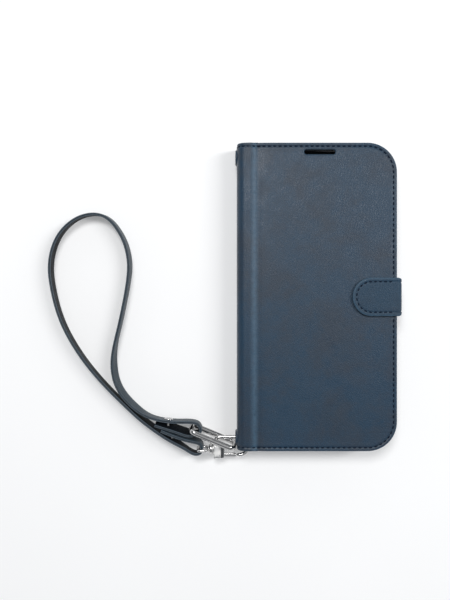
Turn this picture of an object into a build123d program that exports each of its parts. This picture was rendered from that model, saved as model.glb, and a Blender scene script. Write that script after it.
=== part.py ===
from build123d import *
import os
from math import cos, radians, sin, tan

# Phone wallet case: a folding cover of thin leather over stiff boards, a moulded phone tray,
# a magnetic clasp strap, and a wrist strap clipped through a slot in the spine.
# The case lies closed on its back. +Z comes out of the front cover, +Y points to the top of
# the phone and +X to the opening edge. The origin is at the middle of the base of its box,
# without the wrist strap. Millimetres.

# ---- driving dimensions ----
COVER_HEIGHT = 168.0
COVER_WIDTH = 87.0
CORNER_RADIUS = 16.0
LEATHER = 0.9
BOARD = 1.0
LINING = 0.6
SPINE_LINING = 0.5
SPINE_RADIUS = 4.2
CREASE_INSET = 10.7
PATCH_PROUD = 0.9
CLASP_PROUD = 2.4

PHONE_WIDTH = 77.6
PHONE_HEIGHT = 163.0
PHONE_THICKNESS = 8.3
PHONE_CORNER = 13.0
TRAY_WALL = 1.5
TRAY_BASE = 1.2
TRAY_LIP = 0.9
LIP_OVERHANG = 1.2
TRAY_EDGE_GAP = 1.6

POCKET_LEATHER = 0.45
CARD_POCKETS = 3
COVER_CLEARANCE = 0.2
HINGE_CLEARANCE = 0.3

# ---- frame and levels ----
SHIFT = (CLASP_PROUD - PATCH_PROUD) / 2
SPINE_X = -COVER_WIDTH / 2 - SHIFT
EDGE_X = COVER_WIDTH / 2 - SHIFT
CREASE_X = SPINE_X + CREASE_INSET
FRONT_X = CREASE_X + COVER_CLEARANCE
BACK_Z = LEATHER + BOARD + LINING
CAVITY_Z = BACK_Z + TRAY_BASE
LIP_Z = CAVITY_Z + PHONE_THICKNESS
TRAY_TOP = LIP_Z + TRAY_LIP
POCKET_Z = TRAY_TOP + COVER_CLEARANCE
LINING_Z = POCKET_Z + (CARD_POCKETS + 1) * POCKET_LEATHER
FRONT_BOARD_Z = LINING_Z + LINING
FRONT_LEATHER_Z = FRONT_BOARD_Z + BOARD
CASE_THICKNESS = FRONT_LEATHER_Z + LEATHER
HINGE_Z = CASE_THICKNESS + HINGE_CLEARANCE

# ---- cover details ----
BOARD_INSET = 0.6
STITCH_INSET = 2.0
THREAD_WIDTH = 0.7
GROOVE_WIDTH = 0.8
GROOVE_DEPTH = 0.2
EARPIECE_CENTRE = (0.7, 78.9)
EARPIECE_SIZE = (17.2, 2.8)
CAMERA_CENTRE = (17.6, 59.3)
CAMERA_SIZE = 40.0
CAMERA_CORNER = 10.8
POCKET_INSET = 2.4
POCKET_TOPS = (62.0, 14.0, 2.0, -10.0)
MAGNET_RADIUS = 6.0
MAGNET_THICKNESS = 0.7

# ---- tray ----
TRAY_WIDTH = PHONE_WIDTH + 2 * TRAY_WALL
TRAY_HEIGHT = PHONE_HEIGHT + 2 * TRAY_WALL
TRAY_RIGHT = EDGE_X - TRAY_EDGE_GAP
TRAY_LEFT = TRAY_RIGHT - TRAY_WIDTH
TRAY_X = (TRAY_LEFT + TRAY_RIGHT) / 2
PHONE_MID_Z = CAVITY_Z + PHONE_THICKNESS / 2
PORT_SIZE = (40.0, 5.0)
KEY_HEIGHT = 3.8
KEY_PROUD = 0.5
KEY_GAP = 0.15
# name: (side, centre along Y, length); side +1 is the opening edge, -1 the spine
KEYS = {
    "power_key": (1, 28.0, 20.0),
    "volume_up_key": (-1, 32.0, 11.0),
    "volume_down_key": (-1, 17.0, 11.0),
    "action_key": (-1, 48.0, 7.0),
}

# ---- clasp strap ----
TAB_WIDTH = 20.9
TAB_REACH = 24.65
TAB_CORNER = 10.4
TAB_SKIN = 0.9
TAB_GAP = 0.3
SIDE_GAP = 0.6
TONGUE_LENGTH = 12.0
MAGNET_X = EDGE_X - 14.0
SIDE_PIVOT = (EDGE_X + 0.5, BACK_Z)
TAB_PIVOT = (EDGE_X - 0.2, CASE_THICKNESS - 0.5)
PIVOT_GAP = 0.1

# ---- spine slots and wrist strap hardware ----
SLOT_YS = {"top": 77.2, "bottom": -78.0}
SLOT_SIZE = (3.6, 7.2)
SLOT_BOTTOM_Z = 5.4
PATCH_SIZE = (8.2, 11.0)
HARDWARE_Z = 6.8
SWIVEL_Y = -84.9
WIRE_RADIUS = 1.0
HOOK_RADIUS = 4.98
HOOK_TOP_Y = -78.2
HOOK_END_X = -44.3
HOOK_RIGHT_X = -37.8
BLOCK_X = (-57.6, -53.0)
BLOCK_Y = (-90.1, -82.0)
BLOCK_THICKNESS = 5.0
FORK_SLOT = 2.4
COLLAR_X = (-59.8, -57.6)
COLLAR_RADIUS = 3.0
SHANK_RADIUS = 1.0
SHANK_CLEARANCE = 0.06
GATE_PIVOT = (-54.3, -88.18)
GATE_TIP_X = -44.6
GATE_THICKNESS = 2.0
KNUCKLE_RADIUS = 1.4
GATE_PIN_RADIUS = 0.5
GATE_PIN_CLEARANCE = 0.15
EYE_WIRE = 0.9
EYE_X = (-65.9, -60.9)
EYE_HEIGHT = 10.7
RING_LEFT = (-69.7, -73.3)
RING_RIGHT = (-45.9, -83.2)
RING_WIRE = 1.25
RING_HALF_WIDTH = 5.5
RING_CORNER = 2.6
RING_LEAN = 10.0

# ---- wrist strap: a flat cord standing on its edge ----
STRAP_THICKNESS = 1.6
STRAP_WIDTH = 8.0
STRAP_FLOOR_Z = 0.3
STRAP_RAISED_Z = HARDWARE_Z - STRAP_WIDTH / 2
STRAP_STEP_X = -92.0
# From the free end of the fold round the swivel eye, round the wrist loop, to the free end
# of the fold round the oval ring.
STRAP_ROUTE = [
    (-86.3, -73.9), (-80.0, -76.6), (-72.5, -79.1), (-66.1, -80.4), (-63.6, -82.2),
    (-64.1, -86.8), (-68.2, -87.6), (-75.4, -82.6), (-86.5, -76.5), (-103.2, -64.2),
    (-120.0, -47.9), (-132.6, -32.3), (-142.6, -14.8), (-147.7, 2.8), (-149.7, 19.5),
    (-145.1, 34.6), (-135.3, 44.3), (-124.5, 47.3), (-115.8, 44.6), (-108.6, 34.9),
    (-105.1, 25.1), (-104.2, 13.5), (-109.2, -12.3), (-113.0, -27.3), (-113.8, -38.4),
    (-111.9, -48.8), (-106.4, -57.3), (-96.4, -65.8), (-86.9, -68.8), (-78.0, -69.6),
    (-70.5, -69.4), (-65.4, -70.4), (-63.8, -75.2), (-69.6, -76.9), (-78.6, -73.6),
    (-89.6, -70.2),
]
RIVET_CAP = (2.5, 1.0)
RIVET_POST = 1.0
RIVET_HEAD = (2.0, 0.2)
RIVET_RELIEF = 1.0
# name: (point on the outer layer's middle line, outward heading in degrees, layer pitch)
RIVETS = {
    "rivet_ring_end": ((-82.5, -69.2), 84.9, 3.25),
    "rivet_clasp_end": ((-81.0, -79.6), 241.2, 3.35),
}


# ---- small helpers ----
def plate(face, bottom, thickness):
    """A flat outline in XY made into a plate that starts at the height bottom."""
    return extrude(Pos(0, 0, bottom) * face, thickness, dir=(0, 0, 1))


def block(x, y, z):
    """A box from its lowest and highest X, Y and Z."""
    sizes = [pair[1] - pair[0] for pair in (x, y, z)]
    middle = [(pair[0] + pair[1]) / 2 for pair in (x, y, z)]
    return Pos(*middle) * Box(*sizes)


def pill_along_x(y, z, length, height, x, thickness):
    """A block with round ends whose flat faces look along X; length runs along Y."""
    face = Plane.YZ * (Pos(y, z) * SlotOverall(length, height))
    return Pos(x, 0, 0) * extrude(face, thickness, dir=(1, 0, 0))


def disc(x, y, bottom, radius, thickness):
    return Pos(x, y, bottom + thickness / 2) * Cylinder(radius, thickness)


def wire_along(path, radius):
    """Round wire swept along a path."""
    section = Plane(origin=path @ 0, z_dir=path % 0) * Circle(radius)
    return sweep(section, path=path)


# ---- covers ----
def panel_face(inset, left):
    """Outline of a cover panel: square beside the spine, rounded at the opening edge."""
    width = EDGE_X - inset - left
    blank = Pos(left + width / 2, 0) * Rectangle(width, COVER_HEIGHT - 2 * inset)
    return fillet(blank.vertices().group_by(Axis.X)[-1], CORNER_RADIUS - inset)


def seam_face(width, left):
    """The stitched line round the three free sides of a panel, as a narrow band."""
    far_left = SPINE_X - COVER_WIDTH
    outer = panel_face(STITCH_INSET - width / 2, far_left)
    inner = panel_face(STITCH_INSET + width / 2, far_left)
    keep = Pos((left + EDGE_X) / 2, 0) * Rectangle(EDGE_X - left, COVER_HEIGHT)
    return (outer - inner) & keep


def camera_window():
    face = RectangleRounded(CAMERA_SIZE, CAMERA_SIZE, CAMERA_CORNER)
    return plate(Pos(*CAMERA_CENTRE) * face, -1.0, CAVITY_Z + 2.0)


def earpiece_slot():
    face = Pos(*EARPIECE_CENTRE) * SlotOverall(*EARPIECE_SIZE)
    return plate(face, 0.0, 2 * CASE_THICKNESS)


def back_leather():
    sheet = plate(panel_face(0.0, CREASE_X), 0.0, LEATHER)
    groove = plate(seam_face(GROOVE_WIDTH, CREASE_X), 0.0, GROOVE_DEPTH)
    return sheet - groove - camera_window()


def back_stitching():
    return plate(seam_face(THREAD_WIDTH, CREASE_X), 0.0, GROOVE_DEPTH)


def clasp_tongue():
    """End of the clasp strap, sewn in between the back leather and the lining."""
    return block(
        (EDGE_X - TONGUE_LENGTH, EDGE_X + SIDE_GAP - 0.2),
        (-TAB_WIDTH / 2, TAB_WIDTH / 2),
        (LEATHER, LEATHER + BOARD),
    )


def back_board():
    sheet = plate(panel_face(BOARD_INSET, CREASE_X + BOARD_INSET), LEATHER, BOARD)
    return sheet - camera_window() - clasp_tongue()


def back_lining():
    sheet = plate(panel_face(0.0, CREASE_X), LEATHER + BOARD, LINING)
    return sheet - camera_window()


def front_leather():
    sheet = plate(panel_face(0.0, FRONT_X), FRONT_LEATHER_Z, LEATHER)
    groove_z = CASE_THICKNESS - GROOVE_DEPTH
    groove = plate(seam_face(GROOVE_WIDTH, FRONT_X), groove_z, GROOVE_DEPTH)
    return sheet - groove - earpiece_slot()


def front_stitching():
    return plate(seam_face(THREAD_WIDTH, FRONT_X), CASE_THICKNESS - GROOVE_DEPTH, GROOVE_DEPTH)


def front_board():
    sheet = plate(panel_face(BOARD_INSET, FRONT_X + BOARD_INSET), FRONT_BOARD_Z, BOARD)
    pocket = disc(MAGNET_X, 0.0, FRONT_BOARD_Z, MAGNET_RADIUS, BOARD)
    return sheet - earpiece_slot() - pocket


def front_magnet():
    return disc(MAGNET_X, 0.0, FRONT_BOARD_Z, MAGNET_RADIUS, BOARD)


def front_lining():
    return plate(panel_face(0.0, FRONT_X), LINING_Z, LINING) - earpiece_slot()


def pocket_panel(layer):
    """One leather layer of the pockets; layer 0 is the deep cash pocket on the lining."""
    face = panel_face(POCKET_INSET, FRONT_X + POCKET_INSET)
    top = POCKET_TOPS[layer]
    keep = Pos(0, top - COVER_HEIGHT) * Rectangle(2 * COVER_WIDTH, 2 * COVER_HEIGHT)
    bottom = LINING_Z - (layer + 1) * POCKET_LEATHER
    return plate(face & keep, bottom, POCKET_LEATHER)


# ---- spine ----
def spine_face(inset):
    """Filled outline of the spine in XZ, open towards the covers."""
    width = CREASE_INSET - inset
    height = CASE_THICKNESS - 2 * inset
    blank = Pos(CREASE_X - width / 2, CASE_THICKNESS / 2) * Rectangle(width, height)
    return fillet(blank.vertices().group_by(Axis.X)[0], SPINE_RADIUS - inset)


def spine_shell(outer, inner, length):
    """A C-shaped skin between two insets from the outside of the spine."""
    face = Plane.XZ * (spine_face(outer) - spine_face(inner))
    return extrude(face, length / 2, both=True)


def slot_prism(slot, size):
    """Upright pill through the side of the spine at one of the strap slots."""
    middle = SLOT_BOTTOM_Z + SLOT_SIZE[1] / 2
    face = Plane.YZ * (Pos(SLOT_YS[slot], middle) * Rot(0, 0, 90) * SlotOverall(size[1], size[0]))
    return Pos(SPINE_X - 3, 0, 0) * extrude(face, 6.0, dir=(1, 0, 0))


def spine_stitch_bands(width):
    """The short ends of the seam where it runs onto the flat of the spine."""
    bands = []
    for y in (-1, 1):
        middle = y * (COVER_HEIGHT / 2 - STITCH_INSET)
        sides = (middle - width / 2, middle + width / 2)
        run = (SPINE_X + SPINE_RADIUS, CREASE_X)
        bands.append(block(run, sides, (CASE_THICKNESS - GROOVE_DEPTH, CASE_THICKNESS)))
        bands.append(block(run, sides, (0.0, GROOVE_DEPTH)))
    return bands


def spine_leather():
    shell = spine_shell(0.0, LEATHER, COVER_HEIGHT)
    for slot in SLOT_YS:
        shell -= slot_prism(slot, SLOT_SIZE)
    for band in spine_stitch_bands(GROOVE_WIDTH):
        shell -= band
    return shell


def spine_lining():
    shell = spine_shell(LEATHER, LEATHER + SPINE_LINING, COVER_HEIGHT)
    for slot in SLOT_YS:
        shell -= slot_prism(slot, SLOT_SIZE)
    return shell


def spine_patch(slot):
    """Raised leather patch that strengthens a strap slot."""
    skin = spine_shell(-PATCH_PROUD, 0.0, COVER_HEIGHT)
    return (skin & slot_prism(slot, PATCH_SIZE)) - slot_prism(slot, SLOT_SIZE)


# ---- tray and keys ----
def tray_block(inset, bottom, top):
    corner = PHONE_CORNER + TRAY_WALL - inset
    face = RectangleRounded(TRAY_WIDTH - 2 * inset, TRAY_HEIGHT - 2 * inset, corner)
    return plate(Pos(TRAY_X, 0) * face, bottom, top - bottom)


def key_block(name, gap, proud):
    side, y, length = KEYS[name]
    wall = TRAY_WALL + proud
    x = TRAY_RIGHT - TRAY_WALL if side > 0 else TRAY_LEFT - proud
    return pill_along_x(y, PHONE_MID_Z, length + 2 * gap, KEY_HEIGHT + 2 * gap, x, wall)


def phone_tray():
    outer = tray_block(0.0, BACK_Z, TRAY_TOP)
    outer = fillet(outer.edges().group_by(Axis.Z)[-1], TRAY_LIP / 2)
    tray = outer - tray_block(TRAY_WALL, CAVITY_Z, LIP_Z)
    tray -= tray_block(TRAY_WALL + LIP_OVERHANG, LIP_Z, TRAY_TOP)
    tray -= camera_window()
    port = Plane.XZ * (Pos(TRAY_X, PHONE_MID_Z) * SlotOverall(*PORT_SIZE))
    tray -= Pos(0, -PHONE_HEIGHT / 2 + 1, 0) * extrude(port, 4 * TRAY_WALL, dir=(0, -1, 0))
    for name in KEYS:
        tray -= key_block(name, KEY_GAP, 0.0)
    return tray


# ---- clasp strap ----
def tab_face():
    width = TAB_REACH + TAB_PIVOT[0] - EDGE_X
    blank = Pos(TAB_PIVOT[0] - width / 2, 0) * Rectangle(width, TAB_WIDTH)
    return fillet(blank.vertices().group_by(Axis.X)[0], TAB_CORNER)


def tab_bend(inner, outer):
    """The quarter turn where the tab folds over the edge of the front cover."""
    face = Circle(outer) - Circle(inner)
    keep = Pos(outer / 2, outer / 2) * Rectangle(outer, outer)
    ring = extrude(Plane.XZ * (face & keep), TAB_WIDTH / 2, both=True)
    return Pos(TAB_PIVOT[0], 0, TAB_PIVOT[1]) * ring


def tab_layer(level):
    """One of the two leathers of the tab; level 0 is the lining, 1 the outer leather."""
    bottom = CASE_THICKNESS + TAB_GAP + level * TAB_SKIN
    inner = bottom - TAB_PIVOT[1]
    return plate(tab_face(), bottom, TAB_SKIN) + tab_bend(inner, inner + TAB_SKIN)


def clasp_magnet():
    top = CASE_THICKNESS + TAB_GAP + TAB_SKIN
    return disc(MAGNET_X, 0.0, top - MAGNET_THICKNESS, MAGNET_RADIUS, MAGNET_THICKNESS)


def tab_seam(width):
    face = tab_face()
    outer = offset(face, -(STITCH_INSET - width / 2))
    inner = offset(face, -(STITCH_INSET + width / 2))
    keep = Pos(TAB_PIVOT[0] - 3.0 - TAB_REACH, 0) * Rectangle(2 * TAB_REACH, TAB_WIDTH)
    top = CASE_THICKNESS + TAB_GAP + 2 * TAB_SKIN
    return plate((outer - inner) & keep, top - GROOVE_DEPTH, GROOVE_DEPTH)


def clasp_tab_leather():
    return tab_layer(1) - tab_seam(GROOVE_WIDTH)


def clasp_tab_lining():
    return tab_layer(0) - clasp_magnet()


def clasp_side(level):
    """The part of the strap that stands beside the case; level 0 is the lining."""
    inner = EDGE_X + SIDE_GAP + level * TAB_SKIN
    return block(
        (inner, inner + TAB_SKIN),
        (-TAB_WIDTH / 2, TAB_WIDTH / 2),
        (SIDE_PIVOT[1] + PIVOT_GAP, TAB_PIVOT[1] - PIVOT_GAP),
    )


# ---- snap hook, swivel and ring ----
def upright_cylinder(x, y, radius, low, high):
    return disc(x, y, HARDWARE_Z + low, radius, high - low)


def along_x_cylinder(x, radius, y=SWIVEL_Y):
    length = x[1] - x[0]
    return Pos((x[0] + x[1]) / 2, y, HARDWARE_Z) * Rot(0, 90, 0) * Cylinder(radius, length)


def hook_wire():
    """The rigid arm: out of the block, through the slot and back to meet the gate."""
    corner_x = BLOCK_X[0] + 1.2
    bottom_y = HOOK_TOP_Y - 2 * HOOK_RADIUS - 0.02
    points = [
        (corner_x, BLOCK_Y[1] - 2.0),
        (corner_x, HOOK_TOP_Y),
        (HOOK_RIGHT_X, HOOK_TOP_Y),
        (HOOK_RIGHT_X, bottom_y),
        (HOOK_END_X, bottom_y),
    ]
    path = FilletPolyline(*points, radius=[3.0, HOOK_RADIUS, HOOK_RADIUS])
    return Pos(0, 0, HARDWARE_Z) * wire_along(path, WIRE_RADIUS)


def snap_hook():
    half = BLOCK_THICKNESS / 2
    body = block(BLOCK_X, BLOCK_Y, (HARDWARE_Z - half, HARDWARE_Z + half))
    body = fillet(body.edges().filter_by(Axis.Z), 0.9)
    body += along_x_cylinder(COLLAR_X, COLLAR_RADIUS) + hook_wire()
    slot = (HARDWARE_Z - FORK_SLOT / 2, HARDWARE_Z + FORK_SLOT / 2)
    body -= block((GATE_PIVOT[0] - 2.0, BLOCK_X[1] + 1), (BLOCK_Y[0] - 1, GATE_PIVOT[1] + 1.8), slot)
    body -= along_x_cylinder((COLLAR_X[0] - 1, BLOCK_X[0] + 1), SHANK_RADIUS + SHANK_CLEARANCE)
    body -= along_x_cylinder((BLOCK_X[0] + 0.4, BLOCK_X[0] + 1.8), 1.9)
    body -= upright_cylinder(*GATE_PIVOT, GATE_PIN_RADIUS, -half - 1, half + 1)
    return body


def swivel_eye():
    """A rectangular wire eye with a peened shank that turns in the hook's collar."""
    middle = (EYE_X[0] + EYE_X[1]) / 2
    loop = Plane.XZ * RectangleRounded(EYE_X[1] - EYE_X[0], EYE_HEIGHT, 1.4)
    path = loop.wires()[0]
    eye = Pos(middle, SWIVEL_Y, HARDWARE_Z) * wire_along(path, EYE_WIRE)
    head = BLOCK_X[0] + 0.6
    eye += along_x_cylinder((EYE_X[1], head), SHANK_RADIUS)
    eye += along_x_cylinder((EYE_X[1] - 0.3, COLLAR_X[0] - 0.15), 2.0)
    return eye + along_x_cylinder((head, head + 0.8), 1.7)


def hook_gate():
    """Lever that closes the hook; its knuckle turns on the pin in the fork."""
    half = GATE_THICKNESS / 2
    x, y = GATE_PIVOT
    gate = upright_cylinder(x, y, KNUCKLE_RADIUS, -half, half)
    arm = block((x, GATE_TIP_X), (y - 1.0, y + 1.0), (HARDWARE_Z - half, HARDWARE_Z + half))
    arm = fillet(arm.edges().group_by(Axis.X)[-1].filter_by(Axis.Z), 0.6)
    return gate + arm - upright_cylinder(x, y, GATE_PIN_RADIUS + GATE_PIN_CLEARANCE, -half, half)


def gate_pin():
    half = BLOCK_THICKNESS / 2
    return upright_cylinder(*GATE_PIVOT, GATE_PIN_RADIUS, -half, half)


def gate_spring():
    """Leaf in the fork behind the knuckle."""
    x = GATE_PIVOT[0] - 2.0
    return block((x, x + 0.25), (BLOCK_Y[0] + 0.6, GATE_PIVOT[1] + 1.6), (HARDWARE_Z - 0.9, HARDWARE_Z + 0.9))


def ring_plane():
    """Plane of the oval ring: long axis between its two ends, leaning from upright."""
    run = Vector(RING_RIGHT[0] - RING_LEFT[0], RING_RIGHT[1] - RING_LEFT[1], 0)
    along = run.normalized()
    side = Vector(-along.Y, along.X, 0)
    across = Vector(0, 0, 1) * cos(radians(RING_LEAN)) - side * sin(radians(RING_LEAN))
    middle = Vector(*RING_LEFT, HARDWARE_Z) + run / 2
    return Plane(origin=middle, x_dir=along, z_dir=along.cross(across)), run.length


def oval_ring():
    plane, reach = ring_plane()
    outline = RectangleRounded(reach, 2 * RING_HALF_WIDTH, RING_CORNER)
    return wire_along((plane * outline).wires()[0], RING_WIRE)


# ---- wrist strap ----
def route_radii():
    """Each arc is as large as its two runs allow."""
    radii = []
    for before, here, after in zip(STRAP_ROUTE, STRAP_ROUTE[1:], STRAP_ROUTE[2:]):
        first = Vector(*here) - Vector(*before)
        second = Vector(*after) - Vector(*here)
        half_turn = radians(first.get_angle(second)) / 2
        radii.append(0.45 * min(first.length, second.length) / tan(half_turn))
    return radii


def rivet_cylinder(name, radius, near, far):
    """A cylinder on a rivet's axis, from near to far along its outward heading."""
    (x, y), heading = RIVETS[name][:2]
    outward = Vector(cos(radians(heading)), sin(radians(heading)), 0)
    start = Vector(x, y, STRAP_RAISED_Z + STRAP_WIDTH / 2) + outward * near
    return extrude(Plane(origin=start, z_dir=outward) * Circle(radius), far - near)


def rivet(name):
    """A cap on the outer layer, a post through both layers and a thin head inside."""
    pitch = RIVETS[name][2]
    outside = STRAP_THICKNESS / 2
    inside = -pitch - STRAP_THICKNESS / 2
    dome = rivet_cylinder(name, RIVET_CAP[0], outside, outside + RIVET_CAP[1])
    post = rivet_cylinder(name, RIVET_POST, inside, outside)
    return dome + post + rivet_cylinder(name, RIVET_HEAD[0], inside, inside + RIVET_HEAD[1])


def wrist_strap():
    radii = route_radii()
    print("strap radii", [round(radius, 1) for radius in radii])
    path = FilletPolyline(*STRAP_ROUTE, radius=radii)
    print("strap length", round(path.length, 1))
    top = STRAP_RAISED_Z + STRAP_WIDTH
    height = top - STRAP_FLOOR_Z
    section_plane = Plane(origin=path @ 0, x_dir=(0, 0, 1), z_dir=path % 0)
    band = sweep(section_plane * Rectangle(height, STRAP_THICKNESS), path=path)
    band = Pos(0, 0, STRAP_FLOOR_Z + height / 2) * band
    reach = 4 * COVER_HEIGHT
    sides = (-reach, reach)
    strap = band - block((-reach, STRAP_STEP_X), sides, (STRAP_FLOOR_Z + STRAP_WIDTH, top + 1))
    strap -= block((STRAP_STEP_X, reach), sides, (0.0, STRAP_RAISED_Z))
    share = strap.volume / (path.length * STRAP_THICKNESS * STRAP_WIDTH)
    print("strap volume share", round(share, 3))
    for name in RIVETS:
        inside = -RIVETS[name][2] - STRAP_THICKNESS / 2
        strap -= rivet_cylinder(name, RIVET_POST, inside - RIVET_RELIEF, STRAP_THICKNESS)
        strap -= rivet_cylinder(name, RIVET_CAP[0], STRAP_THICKNESS / 2, STRAP_THICKNESS)
        strap -= rivet_cylinder(name, RIVET_HEAD[0], inside - RIVET_RELIEF, inside + RIVET_HEAD[1])
    return strap


# ---- the nodes ----
def nodes():
    made = {
        "back_leather": back_leather(),
        "back_board": back_board(),
        "back_lining": back_lining(),
        "back_stitching": back_stitching(),
        "spine_leather": spine_leather(),
        "spine_lining": spine_lining(),
        "spine_stitching": Compound(spine_stitch_bands(THREAD_WIDTH)),
        "spine_patch_top": spine_patch("top"),
        "spine_patch_bottom": spine_patch("bottom"),
        "front_leather": front_leather(),
        "front_board": front_board(),
        "front_lining": front_lining(),
        "front_stitching": front_stitching(),
        "front_magnet": front_magnet(),
        "cash_pocket": pocket_panel(0),
        "phone_tray": phone_tray(),
        "clasp_tongue": clasp_tongue(),
        "clasp_side_lining": clasp_side(0),
        "clasp_side_leather": clasp_side(1),
        "clasp_tab_lining": clasp_tab_lining(),
        "clasp_tab_leather": clasp_tab_leather(),
        "clasp_tab_stitching": tab_seam(THREAD_WIDTH),
        "clasp_magnet": clasp_magnet(),
        "snap_hook": snap_hook(),
        "hook_gate": hook_gate(),
        "gate_pin": gate_pin(),
        "gate_spring": gate_spring(),
        "swivel_eye": swivel_eye(),
        "oval_ring": oval_ring(),
        "wrist_strap": wrist_strap(),
    }
    for number in range(1, CARD_POCKETS + 1):
        made[f"card_pocket_{number}"] = pocket_panel(number)
    for name in KEYS:
        made[name] = key_block(name, 0.0, KEY_PROUD)
    for name in RIVETS:
        made[name] = rivet(name)
    return made


os.makedirs("parts", exist_ok=True)
for node_name, shape in nodes().items():
    export_step(shape, f"parts/{node_name}.step")
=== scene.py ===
"""Looks of the phone wallet case with its wrist strap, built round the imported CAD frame. Metres, +Z up."""
from math import acos, cos, pi, radians, sin, sqrt, tan

import bmesh
import bpy
import numpy as np
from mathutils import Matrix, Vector


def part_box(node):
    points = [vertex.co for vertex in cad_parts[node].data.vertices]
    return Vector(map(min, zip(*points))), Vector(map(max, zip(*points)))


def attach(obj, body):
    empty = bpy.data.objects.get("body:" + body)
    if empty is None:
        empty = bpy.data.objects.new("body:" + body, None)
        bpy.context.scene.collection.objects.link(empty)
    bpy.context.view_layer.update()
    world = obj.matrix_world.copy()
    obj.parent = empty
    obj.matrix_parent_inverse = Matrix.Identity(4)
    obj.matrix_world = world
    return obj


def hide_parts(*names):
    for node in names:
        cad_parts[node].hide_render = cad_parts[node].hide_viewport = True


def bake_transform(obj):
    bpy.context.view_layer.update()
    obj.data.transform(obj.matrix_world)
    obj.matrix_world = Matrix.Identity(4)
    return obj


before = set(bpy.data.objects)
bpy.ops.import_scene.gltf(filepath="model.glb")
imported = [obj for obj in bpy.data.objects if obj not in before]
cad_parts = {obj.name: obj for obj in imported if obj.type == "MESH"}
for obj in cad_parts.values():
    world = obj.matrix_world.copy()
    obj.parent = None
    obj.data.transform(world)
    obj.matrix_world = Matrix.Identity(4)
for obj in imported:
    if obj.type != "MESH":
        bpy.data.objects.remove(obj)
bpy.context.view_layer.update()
MM = 0.001

# ---- places that come from the frame, in millimetres ----
def span(node):
    """Lowest and highest corner of a CAD node in millimetres."""
    low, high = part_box(node)
    return np.array(low) / MM, np.array(high) / MM


FRONT_HIGH = span("front_leather")[1]
SPINE_LOW, SPINE_HIGH = span("spine_leather")
TAB_LOW, TAB_HIGH = span("clasp_tab_leather")
SIDE_LOW, SIDE_HIGH = span("clasp_side_leather")
HALF = FRONT_HIGH[1]
EDGE = FRONT_HIGH[0]
CREASE = SPINE_HIGH[0]
SPINE = SPINE_LOW[0]
TOP = FRONT_HIGH[2]
# Sizes that the frame's boxes don't give.
CORNER = 16.0
SPINE_RADIUS = 4.2
LEATHER = 0.9
BOARD = 1.0
STITCH_INSET = 2.0
STITCH_PITCH, STITCH_LENGTH, STITCH_SINK = 2.9, 1.65, 0.14
THREAD_RADIUS = 0.38
SLOT = (3.6, 7.2)
EARPIECE = {"centre": (0.7, 78.9), "size": (17.2, 2.8), "radius": 1.39}
CAMERA_WINDOW = {"centre": (17.6, 59.3), "size": (40.0, 40.0), "radius": 10.8}
FAR_FROM_RIMS_AND_FOLD = 5.0  # the "depth" of leather that is far from every edge and fold: it gets neither the paler edge wear nor the painted fold highlight
TAB_GAP = 10.9  # half the width that the clasp strap needs in the back's rim
SHARP = 38  # edges steeper than this many degrees are shaded sharp


# ---- mesh helpers ----
def in_scene(name, data):
    obj = bpy.data.objects.new(name, data)
    bpy.context.scene.collection.objects.link(obj)
    return obj


def new_object(name, verts, faces, materials, face_slots=None, uvs=None, depth=None, sharp=SHARP):
    """A smooth-shaded mesh from millimetre points; uvs and depth hold one value per vertex."""
    mesh = bpy.data.meshes.new(name)
    mesh.from_pydata([tuple(v) for v in np.asarray(verts, float) * MM], [], [tuple(f) for f in faces])
    work = bmesh.new()
    work.from_mesh(mesh)
    bmesh.ops.recalc_face_normals(work, faces=work.faces)
    work.to_mesh(mesh)
    work.free()
    for material in materials:
        mesh.materials.append(material)
    if face_slots is not None:
        mesh.polygons.foreach_set("material_index", np.asarray(face_slots, np.int32))
    mesh.polygons.foreach_set("use_smooth", np.ones(len(mesh.polygons), bool))
    if uvs is not None:
        layer = mesh.uv_layers.new(name="UVMap")
        index = np.zeros(len(mesh.loops), np.int32)
        mesh.loops.foreach_get("vertex_index", index)
        layer.data.foreach_set("uv", np.asarray(uvs, np.float32)[index].ravel())
    if depth is not None:
        attribute = mesh.attributes.new("depth", "FLOAT", "POINT")
        attribute.data.foreach_set("value", np.full(len(verts), depth, np.float32))
    mesh.set_sharp_from_angle(angle=radians(sharp))
    mesh.validate()
    mesh.update()
    return in_scene(name, mesh)


def weld(plan, faces):
    """Merges points of a plan that lie together and drops faces that have collapsed."""
    keys = np.round(np.column_stack([plan[:, :2], np.zeros(len(plan))]), 4)
    _, first, index = np.unique(keys, axis=0, return_index=True, return_inverse=True)
    index = index.ravel()
    kept = []
    for face in faces:
        loop = []
        for corner in index[list(face)]:
            if not loop or loop[-1] != corner:
                loop.append(int(corner))
        if loop[0] == loop[-1]:
            loop.pop()
        if len(loop) > 2 and len(set(loop)) == len(loop):
            kept.append(loop)
    return plan[first], kept


def quads(rows, columns, start=0):
    """Faces of a grid of rows times columns points."""
    faces = []
    for row in range(rows - 1):
        for column in range(columns - 1):
            a = start + row * columns + column
            faces.append((a, a + columns, a + columns + 1, a + 1))
    return faces


def unit(vectors):
    """The same vectors with length one."""
    return vectors / np.linalg.norm(vectors, axis=-1, keepdims=True)


def distances(points):
    """How far along the line each of its points is."""
    return np.concatenate([[0], np.cumsum(np.linalg.norm(np.diff(points, axis=0), axis=1))])


def ring_faces(rows, count, start=0):
    """Faces of a closed solid: rows of rings with count points each, and a cap on both ends."""
    faces = []
    for row in range(rows - 1):
        for k in range(count):
            a, b = start + row * count + k, start + row * count + (k + 1) % count
            faces.append((a, b, b + count, a + count))
    faces.append(tuple(range(start, start + count))[::-1])
    faces.append(tuple(range(start + (rows - 1) * count, start + rows * count)))
    return faces


def circle(centre, a, b, sides):
    """Points round an ellipse with half axes a and b."""
    turns = [2 * pi * k / sides for k in range(sides)]
    return [centre + (cos(turn) * a + sin(turn) * b) for turn in turns]


def arc_points(x, y, radius, angles):
    return [(x + radius * cos(a), y + radius * sin(a)) for a in angles]


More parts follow.
